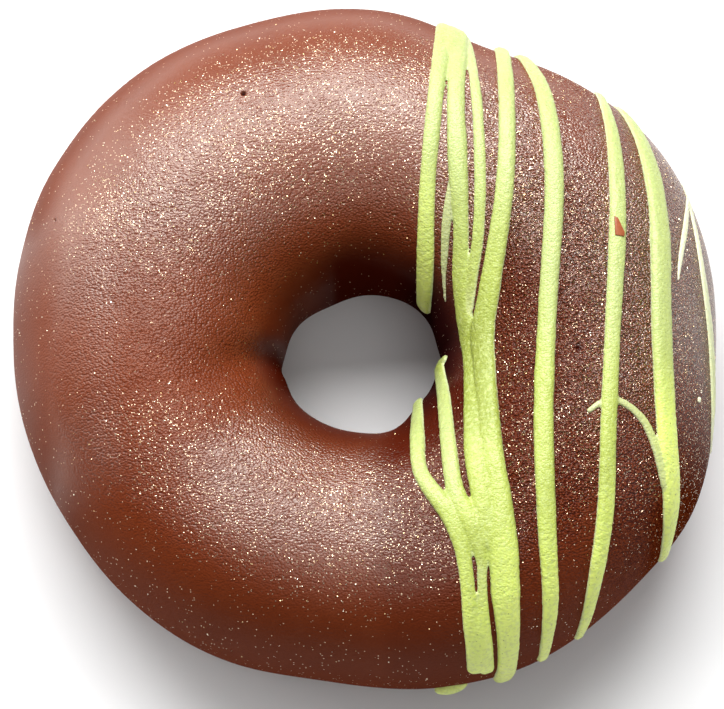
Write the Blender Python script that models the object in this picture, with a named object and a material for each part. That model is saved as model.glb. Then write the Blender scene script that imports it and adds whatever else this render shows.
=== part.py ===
"""A ring doughnut in a smooth chocolate coat, with pistachio icing drizzled over one side.

It lies flat with +Z up, the origin is under the middle of its outline, and +Y is its back.
Lengths are in metres and angles in degrees. Going round the ring, 0 is +X and 90 is +Y.
Going over the dough, 0 is the outer side, 90 the crest, 180 the hole's wall, 270 the underside.
"""
import math

import bmesh
import bpy
from mathutils import Vector
from mathutils.bvhtree import BVHTree

MM = 0.001

# The ring's outline from above: a slightly oval circle, with swells at (angle, rise, spread)
OUTLINE_RADIUS = 45.95 * MM
OVAL_STRETCH = 1.3 * MM
OVAL_ANGLE = 152
OUTLINE_SWELLS = (
    (31, 1.3 * MM, 13),
    (67, -1.9 * MM, 10),
    (105, -0.5 * MM, 10),
    (176, -0.8 * MM, 13),
    (236, 0.9 * MM, 13),
    (264, -0.5 * MM, 8),
    (296, 0.9 * MM, 12),
    (329, 0.9 * MM, 8),
    (357, -0.9 * MM, 9),
)

# The hole, whose centre lies a little towards the front
HOLE_CENTRE = Vector((-0.45 * MM, -2.65 * MM))
HOLE_RADIUS = 9.95 * MM
HOLE_SWELLS = (
    (45, 0.75 * MM, 25),
    (115, -0.65 * MM, 16),
    (215, 0.2 * MM, 14),
    (290, 0.5 * MM, 12),
    (318, -0.35 * MM, 8),
)

# The dough's section: a rounded top and a squarer foot, cut flat where the ring rests
HEIGHT = 32.5 * MM
WIDEST_AT = 15.0 * MM
FOOT_CUT = 0.8 * MM
TOP_ROUND = 2.1
FOOT_ROUND = 2.6
FULL_WIDTH = 36.0 * MM
THIN_TOP_SHARE = 0.8

# Creases where the lip of the hole folds in: (angle, depth, spread, swing outwards, over, reach)
CREASES = (
    (183, 1.3 * MM, 6.5, 16, 150, 26),
    (3, 0.7 * MM, 6.0, -2, 168, 16),
)

# The mesh of the ring: steps round it and over it
STEPS_ROUND = 84
STEPS_OVER = 30

# The icing: a bead's height as a share of its width, how far it sinks in, and its mesh
BEAD_RISE = 0.36
BEAD_SUNK = 0.7 * MM
FOOT_SHARE = 0.72
STATION_GAP = 3.4 * MM
ARC_STEPS = 4
FINE_STEP = 0.4 * MM
SMALLEST_END = 0.35
END_SHARE = 0.3
MOST_SLANTED = 0.55
DOWNWARD_PULL = 0.04
ROUTE_SAMPLES = 16

# Each line of icing, back to front: points (x, y, width) in millimetres seen from above,
# and how far it runs on over the edge, in millimetres, at its back and at its front
ICING_LINES = {
    "hole_back": (
        ((10.4, 39.6, 2.3), (9.8, 34.5, 2.1), (8.75, 25.0, 2.1), (7.95, 15.0, 2.1), (7.9, 4.6, 2.5)),
        (12, 2.4),
    ),
    "trunk_left": (
        ((12.3, 39.6, 2.5), (11.7, 28.0, 2.3), (11.8, 21.5, 2.6), (11.95, 17.5, 2.5),
         (12.3, 12.0, 1.95), (12.35, 6.0, 2.1), (12.75, 1.5, 1.9), (13.15, -1.6, 1.7),
         (13.45, -6.0, 1.6), (13.5, -10.0, 1.9), (13.7, -18.0, 2.6), (14.7, -25.0, 2.9),
         (15.3, -30.8, 2.3)),
        (13, 0),
    ),
    "trunk_right": (
        ((18.1, 38.0, 2.0), (18.2, 25.0, 2.25), (17.7, 15.0, 2.35), (15.9, 3.0, 2.65),
         (15.15, -1.6, 2.75), (15.2, -6.0, 2.65), (15.85, -18.0, 2.8), (16.75, -24.0, 2.9),
         (17.1, -30.0, 3.7), (17.25, -33.0, 3.7), (17.45, -36.2, 3.6), (17.75, -38.9, 3.2),
         (17.95, -41.5, 2.85), (18.0, -43.0, 2.7)),
        (10, 9),
    ),
    "thin_middle": (
        ((13.5, 38.0, 1.1), (14.4, 27.0, 1.45), (14.7, 17.0, 1.55), (14.45, 10.0, 1.45),
         (13.75, 5.0, 1.4), (13.4, 1.0, 1.0)),
        (11, 0),
    ),
    "thin_branch": (
        ((11.3, 17.5, 1.0), (10.8, 14.8, 1.15), (10.45, 12.0, 1.2), (10.25, 8.6, 1.0),
         (10.2, 6.0, 0.6), (10.4, 3.2, 0.3)),
        (0, 0),
    ),
    "hole_front": (
        ((6.9, -10.3, 1.6), (6.7, -15.8, 2.0), (7.1, -21.0, 2.0), (10.3, -26.0, 2.5),
         (11.75, -29.5, 2.2), (12.4, -32.7, 1.85), (12.8, -36.2, 1.85), (13.1, -38.9, 2.0),
         (13.6, -41.6, 2.2), (13.9, -43.4, 2.3)),
        (4, 2),
    ),
    "hole_right": (
        ((10.7, -3.5, 1.2), (9.9, -4.2, 1.6), (9.85, -5.6, 1.75), (10.05, -8.5, 1.75),
         (10.5, -17.0, 2.0), (11.3, -23.5, 2.3), (13.2, -27.5, 3.0), (14.2, -30.6, 2.0),
         (14.45, -32.9, 1.25), (14.55, -36.2, 1.35), (14.65, -38.9, 1.8), (15.05, -41.6, 1.95),
         (15.3, -43.4, 2.0)),
        (0, 2),
    ),
    "hole_front_end": (
        ((13.7, -38.0, 1.5), (14.1, -40.2, 2.3), (14.55, -43.2, 2.9)),
        (0, 2.2),
    ),
    "head_web": (
        ((11.4, 39.2, 2.6), (11.1, 36.5, 2.6), (10.9, 34.0, 1.8)),
        (7, 0),
    ),
    "middle": (
        ((21.1, 36.2, 1.7), (23.2, 28.5, 2.2), (24.05, 16.0, 2.55), (23.1, 1.0, 2.4),
         (22.3, -14.0, 2.55), (22.5, -27.0, 2.4), (23.1, -36.3, 2.1), (22.8, -41.5, 1.6)),
        (10, 3.2),
    ),
    "outer_left": (
        ((30.8, 32.0, 1.2), (31.9, 23.0, 1.8), (32.05, 12.0, 2.2), (31.1, -3.0, 2.1),
         (30.35, -15.0, 2.1), (29.85, -26.0, 2.15), (28.3, -36.0, 1.85), (27.1, -39.6, 1.3)),
        (8, 2),
    ),
    "outer_right": (
        ((33.5, 30.2, 1.2), (36.1, 23.0, 2.0), (37.45, 13.0, 2.55), (37.4, -2.0, 2.65),
         (37.75, -14.0, 2.6), (38.55, -23.5, 2.4), (38.2, -29.8, 1.5)),
        (8, 2),
    ),
    "crossing_arc": (
        ((27.7, -13.5, 0.6), (29.6, -12.2, 0.85), (31.6, -11.9, 0.9), (34.3, -13.6, 1.0),
         (36.1, -16.6, 1.1), (37.8, -22.0, 1.2)),
        (0, 0),
    ),
    "side": (
        ((42.2, 18.3, 0.6), (43.4, 8.3, 0.75), (44.5, -1.0, 1.0), (44.8, -8.0, 1.1),
         (44.7, -14.0, 0.6)),
        (4, 2),
    ),
    "side_branch": (
        ((42.2, 17.8, 0.5), (41.3, 12.5, 0.8), (40.4, 8.0, 0.65), (39.9, 4.6, 0.3)),
        (0, 0),
    ),
}

# A drop of icing that has run down the front: its place on the ring and its half-sizes
DROP_ROUND, DROP_OVER = 284, -10
DROP_HALF = Vector((2.2, 1.0, 1.4)) * MM
DROP_RINGS, DROP_SEGMENTS = 5, 8

# Colours and finishes
CHOCOLATE = (0.205, 0.066, 0.032)
CHOCOLATE_ROUGHNESS = 0.38
PISTACHIO = (0.68, 0.83, 0.26)
PISTACHIO_ROUGHNESS = 0.45
SHARP_ANGLE = 40


def remove_everything():
    for thing in list(bpy.data.objects):
        bpy.data.objects.remove(thing)


def gloss_material(name, colour, roughness):
    material = bpy.data.materials.new(name)
    material.use_nodes = True
    shader = material.node_tree.nodes["Principled BSDF"]
    shader.inputs["Base Color"].default_value = (*colour, 1)
    shader.inputs["Roughness"].default_value = roughness
    shader.inputs["Metallic"].default_value = 0
    return material


def turn_between(angle, centre):
    return (angle - centre + 180) % 360 - 180


def bell(offset, spread):
    return math.exp(-0.5 * (offset / spread) ** 2)


def swelling(angle, swells):
    return sum(rise * bell(turn_between(angle, centre), spread) for centre, rise, spread in swells)


def outline_point(angle):
    """The ring's outermost point at this angle, seen from above."""
    oval = OVAL_STRETCH * math.cos(2 * math.radians(angle - OVAL_ANGLE))
    radius = OUTLINE_RADIUS + oval + swelling(angle, OUTLINE_SWELLS)
    return radius * Vector((math.cos(math.radians(angle)), math.sin(math.radians(angle))))


def hole_point(angle):
    """The narrowest point of the hole's wall at this angle, seen from above."""
    radius = HOLE_RADIUS + swelling(angle, HOLE_SWELLS)
    return HOLE_CENTRE + radius * Vector((math.cos(math.radians(angle)), math.sin(math.radians(angle))))


def signed_power(value, power):
    return math.copysign(abs(value) ** power, value)


def crease_depth(angle, over):
    depth = 0
    for centre, deepest, spread, swing, middle, reach in CREASES:
        away_from_wall = max(0, 180 - over) / 90
        offset = turn_between(angle, centre + swing * away_from_wall)
        depth += deepest * bell(offset, spread) * bell(over - middle, reach)
    return depth


def ring_point(angle, over):
    """A point of the coat, at an angle round the ring and an angle over the dough."""
    across, up = math.cos(math.radians(over)), math.sin(math.radians(over))
    power = 2 / (TOP_ROUND if up >= 0 else FOOT_ROUND)
    share = (1 + signed_power(across, power)) / 2
    outside, inside = outline_point(angle), hole_point(angle)
    plan = inside.lerp(outside, share)
    width = (outside - inside).length
    if up >= 0:
        crest = HEIGHT * (THIN_TOP_SHARE + (1 - THIN_TOP_SHARE) * width / FULL_WIDTH)
        height = WIDEST_AT + (crest - WIDEST_AT) * signed_power(up, power)
    else:
        height = max(0, WIDEST_AT + (WIDEST_AT + FOOT_CUT) * signed_power(up, power))
    depth = crease_depth(angle, over)
    outwards = (outside - inside).normalized()
    plan -= outwards * depth * across
    return Vector((plan.x, plan.y, height - depth * max(0, up)))


def make_ring():
    shape = bmesh.new()
    rings = []
    for i in range(STEPS_ROUND):
        angle = 360 * i / STEPS_ROUND
        rings.append([shape.verts.new(ring_point(angle, 360 * j / STEPS_OVER)) for j in range(STEPS_OVER)])
    for i, ring in enumerate(rings):
        after = rings[(i + 1) % STEPS_ROUND]
        for j in range(STEPS_OVER):
            k = (j + 1) % STEPS_OVER
            shape.faces.new((ring[j], after[j], after[k], ring[k]))
    bmesh.ops.recalc_face_normals(shape, faces=shape.faces)
    return shape


def smooth_route(points, samples):
    """Points on a smooth curve through the given ones (Catmull-Rom), each (x, y, width)."""
    knots = [Vector(p) * MM for p in points]
    knots = [2 * knots[0] - knots[1]] + knots + [2 * knots[-1] - knots[-2]]
    route = []
    for a, b, c, d in zip(knots, knots[1:], knots[2:], knots[3:]):
        for i in range(samples):
            t = i / samples
            route.append(0.5 * (2 * b + t * (c - a) + t * t * (2 * a - 5 * b + 4 * c - d)
                                + t ** 3 * (3 * b - a - 3 * c + d)))
    return route + [knots[-2]]


def lay_on_ring(route, ring_tree):
    """Drops each point of a route onto the coat, giving (place, width)."""
    laid = []
    for x, y, width in route:
        place = ring_tree.ray_cast(Vector((x, y, 2 * HEIGHT)), Vector((0, 0, -1)))[0]
        if place is not None:
            laid.append((place, width))
    return laid


def run_over_edge(laid, distance, ring_tree):
    """Lets a line creep on over the coat from its last point, bending downwards as icing does."""
    place, width = laid[-1]
    heading = (place - laid[-2][0]).normalized()
    for _ in range(round(distance * MM / FINE_STEP)):
        normal = ring_tree.find_nearest(place)[1]
        heading = heading - Vector((0, 0, DOWNWARD_PULL))
        heading = (heading - normal * heading.dot(normal)).normalized()
        place = ring_tree.find_nearest(place + heading * FINE_STEP)[0]
        laid.append((place, width))
    return laid


def stations_along(laid):
    """Even places along a line, closer at its round ends: (place, width, share of full size)."""
    reach = [0]
    for (a, _), (b, _) in zip(laid, laid[1:]):
        reach.append(reach[-1] + (b - a).length)
    total = reach[-1]
    first, last = laid[0][1] / 2, laid[-1][1] / 2
    count = max(1, round((total - first - last) / STATION_GAP))
    middle = [first + (total - first - last) * i / count for i in range(count + 1)]
    wanted = [0, END_SHARE * first] + middle + [total - END_SHARE * last, total]
    stations, at = [], 0
    for want in wanted:
        while at < len(reach) - 2 and reach[at + 1] < want:
            at += 1
        part = (want - reach[at]) / max(reach[at + 1] - reach[at], 1e-9)
        place = laid[at][0].lerp(laid[at + 1][0], part)
        width = laid[at][1] + (laid[at + 1][1] - laid[at][1]) * part
        nearest_end = min(want / first, (total - want) / last, 1)
        share = max(SMALLEST_END, math.sqrt(1 - (1 - nearest_end) ** 2))
        stations.append((place, width, share))
    return stations


def make_bead(name, stations, ring_tree, material):
    """One line of icing: a half-round section swept along its stations, its foot sunk in the coat."""
    shape = bmesh.new()
    sections = []
    for i, (place, width, share) in enumerate(stations):
        before, after = stations[max(i - 1, 0)][0], stations[min(i + 1, len(stations) - 1)][0]
        forward = (after - before).normalized()
        normal = ring_tree.find_nearest(place)[1]
        normal = (normal - forward * normal.dot(forward)).normalized()
        side = forward.cross(normal)
        slant = max(math.hypot(side.x, side.y), MOST_SLANTED)
        half, rise = share * width / 2 / slant, share * width * BEAD_RISE
        section = []
        for j in range(ARC_STEPS + 1):
            turn = math.pi * j / ARC_STEPS
            section.append(place + side * half * math.cos(turn) + normal * rise * math.sin(turn))
        for sign in (-1, 1):
            section.append(place + side * half * FOOT_SHARE * sign - normal * BEAD_SUNK)
        sections.append([shape.verts.new(corner) for corner in section])
    corners = len(sections[0])
    for one, two in zip(sections, sections[1:]):
        for j in range(corners):
            k = (j + 1) % corners
            shape.faces.new((one[j], one[k], two[k], two[j]))
    shape.faces.new(sections[0])
    shape.faces.new(reversed(sections[-1]))
    bmesh.ops.recalc_face_normals(shape, faces=shape.faces)
    return as_object(name, shape, material)


def make_drop(material):
    shape = bmesh.new()
    bmesh.ops.create_uvsphere(shape, u_segments=DROP_SEGMENTS, v_segments=DROP_RINGS, radius=1)
    place = ring_point(DROP_ROUND, DROP_OVER)
    along = math.radians(DROP_ROUND - 90)
    for corner in shape.verts:
        x, y, z = (a * b for a, b in zip(corner.co, DROP_HALF))
        corner.co = place + Vector((x * math.cos(along) - y * math.sin(along),
                                    x * math.sin(along) + y * math.cos(along), z))
    return as_object("icing_drop", shape, material)


def as_object(name, shape, material):
    bmesh.ops.triangulate(shape, faces=shape.faces)
    mesh = bpy.data.meshes.new(name)
    shape.to_mesh(mesh)
    shape.free()
    mesh.materials.append(material)
    mesh.shade_smooth()
    thing = bpy.data.objects.new(name, mesh)
    bpy.context.scene.collection.objects.link(thing)
    return thing


def fuse(body, pieces):
    """Joins the pieces to the body with one Boolean union, then removes them."""
    group = bpy.data.collections.new("icing")
    bpy.context.scene.collection.children.link(group)
    for piece in pieces:
        group.objects.link(piece)
        piece.hide_render = True
        piece.display_type = "WIRE"
    union = body.modifiers.new("fuse icing", "BOOLEAN")
    union.operation = "UNION"
    union.operand_type = "COLLECTION"
    union.collection = group
    union.solver = "MANIFOLD"
    bpy.context.view_layer.objects.active = body
    with bpy.context.temp_override(object=body, active_object=body):
        bpy.ops.object.modifier_apply(modifier=union.name)
    for piece in pieces:
        bpy.data.objects.remove(piece)
    bpy.data.collections.remove(group)


def make_doughnut():
    chocolate = gloss_material("chocolate coat", CHOCOLATE, CHOCOLATE_ROUGHNESS)
    pistachio = gloss_material("pistachio icing", PISTACHIO, PISTACHIO_ROUGHNESS)
    ring = make_ring()
    ring_tree = BVHTree.FromBMesh(ring)
    doughnut = as_object("doughnut", ring, chocolate)
    beads = [make_drop(pistachio)]
    for name, (points, (back_run, front_run)) in ICING_LINES.items():
        laid = lay_on_ring(smooth_route(points, ROUTE_SAMPLES), ring_tree)
        laid = run_over_edge(laid, front_run, ring_tree)
        laid = run_over_edge(laid[::-1], back_run, ring_tree)
        beads.append(make_bead("icing_" + name, stations_along(laid), ring_tree, pistachio))
    fuse(doughnut, beads)
    doughnut.data.set_sharp_from_angle(angle=math.radians(SHARP_ANGLE))


remove_everything()
make_doughnut()
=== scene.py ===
"""Looks of a ring doughnut: its chocolate coat, the pistachio icing drizzled over it and gold glitter.

Lengths are in metres and angles in degrees. Going round the ring, 0 is +X and 90 is +Y.
Going over the dough, 0 is the outer side, 90 the crest, 180 the hole's wall, 270 the underside.
"""
import math
import bmesh
import bpy
import numpy as np
from bpy.props import FloatProperty, FloatVectorProperty, IntProperty, PointerProperty
from mathutils import Euler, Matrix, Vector, noise
from mathutils.bvhtree import BVHTree


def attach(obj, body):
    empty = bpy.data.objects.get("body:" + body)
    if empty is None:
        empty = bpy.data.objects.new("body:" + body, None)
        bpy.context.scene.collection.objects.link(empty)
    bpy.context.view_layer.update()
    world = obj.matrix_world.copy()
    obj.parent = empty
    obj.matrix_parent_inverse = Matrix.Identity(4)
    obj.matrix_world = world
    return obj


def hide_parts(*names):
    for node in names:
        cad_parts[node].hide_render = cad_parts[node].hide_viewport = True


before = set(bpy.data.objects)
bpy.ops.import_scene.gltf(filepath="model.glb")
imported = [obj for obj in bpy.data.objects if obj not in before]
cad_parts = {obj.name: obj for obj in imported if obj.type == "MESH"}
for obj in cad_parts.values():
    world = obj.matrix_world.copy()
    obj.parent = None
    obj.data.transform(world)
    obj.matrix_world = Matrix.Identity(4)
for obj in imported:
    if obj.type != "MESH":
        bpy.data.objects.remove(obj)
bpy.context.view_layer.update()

bl_info = {
    "name": "Drizzled doughnut",
    "version": (1, 0, 0),
    "blender": (4, 5, 0),
    "location": "3D View > Sidebar > Doughnut",
    "description": "Coats, drizzles and dusts a ring doughnut, and lights it",
    "category": "Mesh",
}

MM = 0.001
BODY = "root"
NODE = "doughnut"

# The ring's outline from above: a slightly oval circle, with swells at (angle, rise, spread)
OVAL_STRETCH = 1.3 * MM
OVAL_ANGLE = 152
OUTLINE_SWELLS = (
    (31, 1.3 * MM, 13),
    (67, -1.9 * MM, 10),
    (105, -0.5 * MM, 10),
    (176, -0.8 * MM, 13),
    (236, 0.9 * MM, 13),
    (264, -0.5 * MM, 8),
    (296, 0.9 * MM, 12),
    (329, 0.9 * MM, 8),
    (357, -0.9 * MM, 9),
)
HOLE_CENTRE = (-0.45 * MM, -2.65 * MM)
HOLE_SWELLS = (
    (45, 0.75 * MM, 25),
    (115, -0.65 * MM, 16),
    (215, 0.2 * MM, 14),
    (290, 0.5 * MM, 12),
    (318, -0.35 * MM, 8),
)

# The dough's section: a rounded top and a squarer foot, cut flat where the ring rests
FOOT_CUT = 0.8 * MM
TOP_ROUND = 2.1
FOOT_ROUND = 2.6
FULL_WIDTH = 36.0 * MM
THIN_TOP_SHARE = 0.8

# Creases where the lip of the hole folds in: (angle, depth, spread, swing outwards, over, reach)
CREASES = (
    (183, 1.3 * MM, 6.5, 16, 150, 26),
    (3, 0.7 * MM, 6.0, -2, 168, 16),
)

# Slow unevenness of the coat, and the pits that bubbles left: each one's place seen from above,
# radius, depth and darkness, which is shade painted inside it; the coat is refined in a patch round
# each
WAVE_SIZE = 11 * MM
WAVE_DEPTH = 0.22 * MM
PITS = (
    ((-15.5 * MM, 28.4 * MM), 0.3 * MM, 0.5 * MM, 1.0),
    ((26.8 * MM, -5.2 * MM), 0.42 * MM, 0.3 * MM, 0.85),
    ((-39.7 * MM, 12.8 * MM), 0.25 * MM, 0.2 * MM, 0.4),
)
PIT_PATCH = 1.3 * MM
PIT_CUTS = 5

RING_STEPS = 480
SECTION_STEPS = 200

# How a bead of icing is swept: its route, its section, its stations and its creep over the edge
ROUTE_SAMPLES = 24
ARC_STEPS = 10
BEAD_SQUARENESS = 2.5
FOOT_SHARE = 0.85
STATION_GAP = 0.6 * MM
FINE_STEP = 0.3 * MM
DOWNWARD_PULL = 0.03
ROUND_END_TURNS = (0.06, 0.16, 0.34, 0.62)
SMALLEST_STEP = 1e-9  # keeps a share of a step from dividing by zero
WOBBLE = 0.05
WOBBLE_LENGTH = 3 * MM
MOST_SLANTED = 0.55
ROUGH_SIZE = 0.5 * MM

# Lines of icing, back to front: points (x, y, width) in millimetres seen from above,
# and how far each runs on over the edge, in millimetres, at its back and at its front
ICING_LINES = {
    "hole_back": (
        ((10.4, 39.6, 2.3), (9.8, 34.5, 2.1), (8.75, 25.0, 2.1), (7.95, 15.0, 2.1), (7.9, 4.6, 2.5)),
        (12, 2.4),
    ),
    "trunk_left": (
        ((12.3, 39.6, 2.5), (11.7, 28.0, 2.3), (11.8, 21.5, 2.6), (11.95, 17.5, 2.5),
         (12.3, 12.0, 1.95), (12.35, 6.0, 2.1), (12.75, 1.5, 1.9), (13.15, -1.6, 1.7),
         (13.45, -6.0, 1.6), (13.5, -10.0, 1.9), (13.7, -18.0, 2.6), (14.7, -25.0, 2.9),
         (15.3, -30.8, 2.3)),
        (13, 0),
    ),
    "trunk_right": (
        ((18.1, 38.0, 2.0), (18.2, 25.0, 2.25), (17.7, 15.0, 2.35), (15.9, 3.0, 2.65),
         (15.15, -1.6, 2.75), (15.2, -6.0, 2.65), (15.85, -18.0, 2.8), (16.75, -24.0, 2.9),
         (17.1, -30.0, 3.7), (17.25, -33.0, 3.7), (17.45, -36.2, 3.6), (17.75, -38.9, 3.2),
         (17.95, -41.5, 2.85), (18.0, -43.0, 2.7)),
        (10, 9),
    ),
    "thin_middle": (
        ((13.5, 38.0, 1.1), (14.4, 27.0, 1.45), (14.7, 17.0, 1.55), (14.45, 10.0, 1.45),
         (13.75, 5.0, 1.4), (13.4, 1.0, 1.0)),
        (11, 0),
    ),
    "thin_branch": (
        ((11.3, 17.5, 1.0), (10.8, 14.8, 1.15), (10.45, 12.0, 1.2), (10.25, 8.6, 1.0),
         (10.2, 6.0, 0.6), (10.4, 3.2, 0.3)),
        (0, 0),
    ),
    "hole_front": (
        ((6.9, -10.3, 1.6), (6.7, -15.8, 2.0), (7.1, -21.0, 2.0), (10.3, -26.0, 2.5),
         (11.75, -29.5, 2.2), (12.4, -32.7, 1.85), (12.8, -36.2, 1.85), (13.1, -38.9, 2.0),
         (13.6, -41.6, 2.2), (13.9, -43.4, 2.3)),
        (4, 2),
    ),
    "hole_right": (
        ((10.7, -3.5, 1.2), (9.9, -4.2, 1.6), (9.85, -5.6, 1.75), (10.05, -8.5, 1.75),
         (10.5, -17.0, 2.0), (11.3, -23.5, 2.3), (13.2, -27.5, 3.0), (14.2, -30.6, 2.0),
         (14.45, -32.9, 1.25), (14.55, -36.2, 1.35), (14.65, -38.9, 1.8), (15.05, -41.6, 1.95),
         (15.3, -43.4, 2.0)),
        (0, 2),
    ),
    "hole_front_end": (
        ((13.7, -38.0, 1.5), (14.1, -40.2, 2.3), (14.55, -43.2, 2.9)),
        (0, 2.2),
    ),
    "head_web": (
        ((11.4, 39.2, 2.6), (11.1, 36.5, 2.6), (10.9, 34.0, 1.8)),
        (7, 0),
    ),
    "middle": (
        ((21.1, 36.2, 1.7), (23.2, 28.5, 2.2), (24.05, 16.0, 2.55), (23.1, 1.0, 2.4),
         (22.3, -14.0, 2.55), (22.5, -27.0, 2.4), (23.1, -36.3, 2.1), (22.8, -41.5, 1.6)),
        (10, 3.2),
    ),
    "outer_left": (
        ((30.8, 32.0, 1.2), (31.9, 23.0, 1.8), (32.05, 12.0, 2.2), (31.1, -3.0, 2.1),
         (30.35, -15.0, 2.1), (29.85, -26.0, 2.15), (28.3, -36.0, 1.85), (27.1, -39.6, 1.3)),
        (8, 2),
    ),
    "outer_right": (
        ((33.5, 30.2, 1.2), (36.1, 23.0, 2.0), (37.45, 13.0, 2.55), (37.4, -2.0, 2.65),
         (37.75, -14.0, 2.6), (38.55, -23.5, 2.4), (38.2, -29.8, 1.5)),
        (8, 2),
    ),
    "crossing_arc": (
        ((27.7, -13.5, 0.6), (29.6, -12.2, 0.85), (31.6, -11.9, 0.9), (34.3, -13.6, 1.0),
         (36.1, -16.6, 1.1), (37.8, -22.0, 1.2)),
        (0, 0),
    ),
    "side": (
        ((42.2, 18.3, 0.6), (43.4, 8.3, 0.75), (44.5, -1.0, 1.0), (44.8, -8.0, 1.1),
         (44.7, -14.0, 0.6)),
        (4, 2),
    ),
    "side_branch": (
        ((42.2, 17.8, 0.5), (41.3, 12.5, 0.8), (40.4, 8.0, 0.65), (39.9, 4.6, 0.3)),
        (0, 0),
    ),
}
ICING_PIECES = {
    "icing_trunk": ("hole_back", "trunk_left", "trunk_right", "thin_middle", "thin_branch",
                    "hole_front", "hole_right", "hole_front_end", "head_web"),
    "icing_middle": ("middle",),
    "icing_outer": ("outer_left", "outer_right", "crossing_arc"),
    "icing_side": ("side", "side_branch"),
}

# Thinness of a line of icing, through which the coat shows: 0 from the thick width up and 1 where it
# is narrower by the fade, but never less than what a line has here
THICK_WIDTH = 1.5 * MM
THIN_FADE = 0.9 * MM
THIN_LINES = {"thin_branch": 0.7, "crossing_arc": 0.6}

# The pale rim at the icing's foot: heights over the coat in millimetres where it ends and is full
RIM_END = 0.4
RIM_FULL = 0.1

# How many points of the icing are measured against the lines in one go
POINTS_AT_ONCE = 4000

# Drops of icing: place round and over the ring, half-sizes along, out and up, and thinness
DROPS = {
    "icing_drop": ((284, -10), (2.2 * MM, 1.0 * MM, 1.4 * MM), 0.2),
    "icing_dot": ((346.8, 34), (0.4 * MM, 0.3 * MM, 0.34 * MM), 1.0),
}
PALE_PIECES = ("icing_side", "icing_dot")

# A flake of caramel-coloured chocolate on the line of icing next to the outermost: its middle seen
# from above, its corners round that in millimetres, its thickness, and how far it is sunk in
FLAKE_MIDDLE = (32.15 * MM, 10.5 * MM)
FLAKE_CORNERS = ((-0.6, 1.3), (-0.15, 1.1), (0.7, -0.75), (0.62, -1.3), (-0.55, -1.2))
FLAKE_THICKNESS = 0.35 * MM
FLAKE_SUNK = 0.12 * MM
FLAKE_BEVEL = 0.08 * MM

# Glitter flakes: four-sided plates, measured by their radius, and drawn at random from the outer side
# over the crest to the hole; those on dusted parts are kept, and a share of strays
PLATE_TAPER = 0.8
PLATE_THICKNESS = 0.3
GLITTER_SEED = 11
GLITTER_OVER = (2, 176)
STRAY_SHARE = 0.05
NEARBY_ANGLE = 0.5
WHOLE_TURN = 6.28

# Sizes of the patterns in the materials, in millimetres
CLOUD_SIZE, ICING_CLOUD_SIZE = 16, 5
MOTTLE_SIZE, ICING_MOTTLE_SIZE = 2.4, 0.5
PEBBLE_SIZE = 0.26
PEBBLE_STRETCH = (0.8, 1.0, 1.0)
PEBBLE_WARP_SIZE = 2.0
SHIMMER_CELL = 0.19
ICING_SPECK_CELL = 0.6

# How deep the pebbling of the coat and of the icing is
PEBBLE_DEPTH = 0.1 * MM
ICING_PEBBLE_DEPTH = 0.04 * MM

# Regions of the coat and the icing: a strength, and smooth steps that it is multiplied by, each from
# 0 at its first limit to 1 at its second, in millimetres along x, y, z or reach (the distance from
# the hole's middle seen from above)
REGIONS = {
    # gold dust
    "dusted_back": (1, ("y", 0, 14), ("reach", 14, 26), ("reach", 43, 35), ("z", 22, 29)),
    "dusted_front": (0.8, ("y", -8, -17), ("reach", 14, 19), ("reach", 38, 27)),
    "dusted_side": (0.8, ("x", 12, 22), ("y", -34, -14), ("z", 8, 17)),
    # the hole's wall, its lip and the slopes round it, where painted shade darkens the coat's colour
    # and the shine is dulled
    "hole_wall": (1, ("reach", 15.5, 11), ("z", 31, 24)),
    "paler_front_wall": (0.3, ("y", -6, -12)),
    "paler_left_wall": (0.55, ("x", -3, -8), ("y", -4, 1)),
    "right_wall": (1, ("x", 3, 8)),
    "front_lip": (0.6, ("reach", 18, 13), ("y", -8, -12)),
    "shaded_slope": (0.9, ("reach", 22, 13.5), ("y", -7, 1), ("x", 14, 8)),
    "front_right_slope": (1, ("x", -3, 5), ("y", -5, -9), ("x", 20, 12)),
    "near_lip": (1, ("reach", 20, 15)),
    "before_front_edge": (1, ("reach", 40, 30)),
    # the top: dulled shine, and painted shade towards the front
    "back_top": (1, ("y", 8, 17)),
    "front_top": (0.36, ("y", -16, -22)),
    # the outer side: dulled shine, and painted shade low down, at the foot and on the outer slope
    "low_front": (1, ("reach", 25, 37), ("y", 2, -26)),
    "lighter_low_left": (0.5, ("x", -24, -34), ("y", -26, -16)),
    "left_of_trunk": (0.93, ("x", 24, 16)),
    "right_of_trunk": (1, ("x", 16, 24)),
    "right_edge": (0.2, ("x", 34, 40)),
    "right_side": (0.6, ("x", 22, 38)),
    "back_edge": (0.76, ("z", 31, 24), ("y", 4, 16), ("x", 38, 28)),
    "left_edge": (1, ("x", -29, -34)),
    "far_left": (1, ("x", -35, -41)),
    "outer_slope": (1, ("z", 31, 21), ("reach", 26, 34)),
    "foot": (1, ("z", 16, 9)),
    # the pebbling
    "pebbled_top": (1, ("reach", 42, 33)),
    "pebbled_side": (1, ("x", 22, 34), ("z", 8, 17)),
    "behind_front_edge": (0.7, ("y", -40, -24)),
    "smoother_back": (0.45, ("y", 8, 24)),
    "outside_hole": (1, ("reach", 11, 15), ("z", 4, 14)),
    "right_half": (1, ("x", 4, 18)),
    "satin_right": (1, ("x", 10, 20)),
    # the icing: painted shade on the trunk and painted light over the hole, and paler at the back and
    # next to the hole
    "painted_shade_trunk": (1, ("x", 20, 18), ("y", 6, -4), ("y", -20, -12)),
    "over_hole": (1, ("reach", 28, 18), ("y", -2, 4), ("x", 11, 9)),
    "behind_pale_back": (0.6, ("y", 34, 40)),
    "near_hole": (0.75, ("x", 12.5, 11), ("y", -4, -8), ("y", -28, -20)),
}

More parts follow.
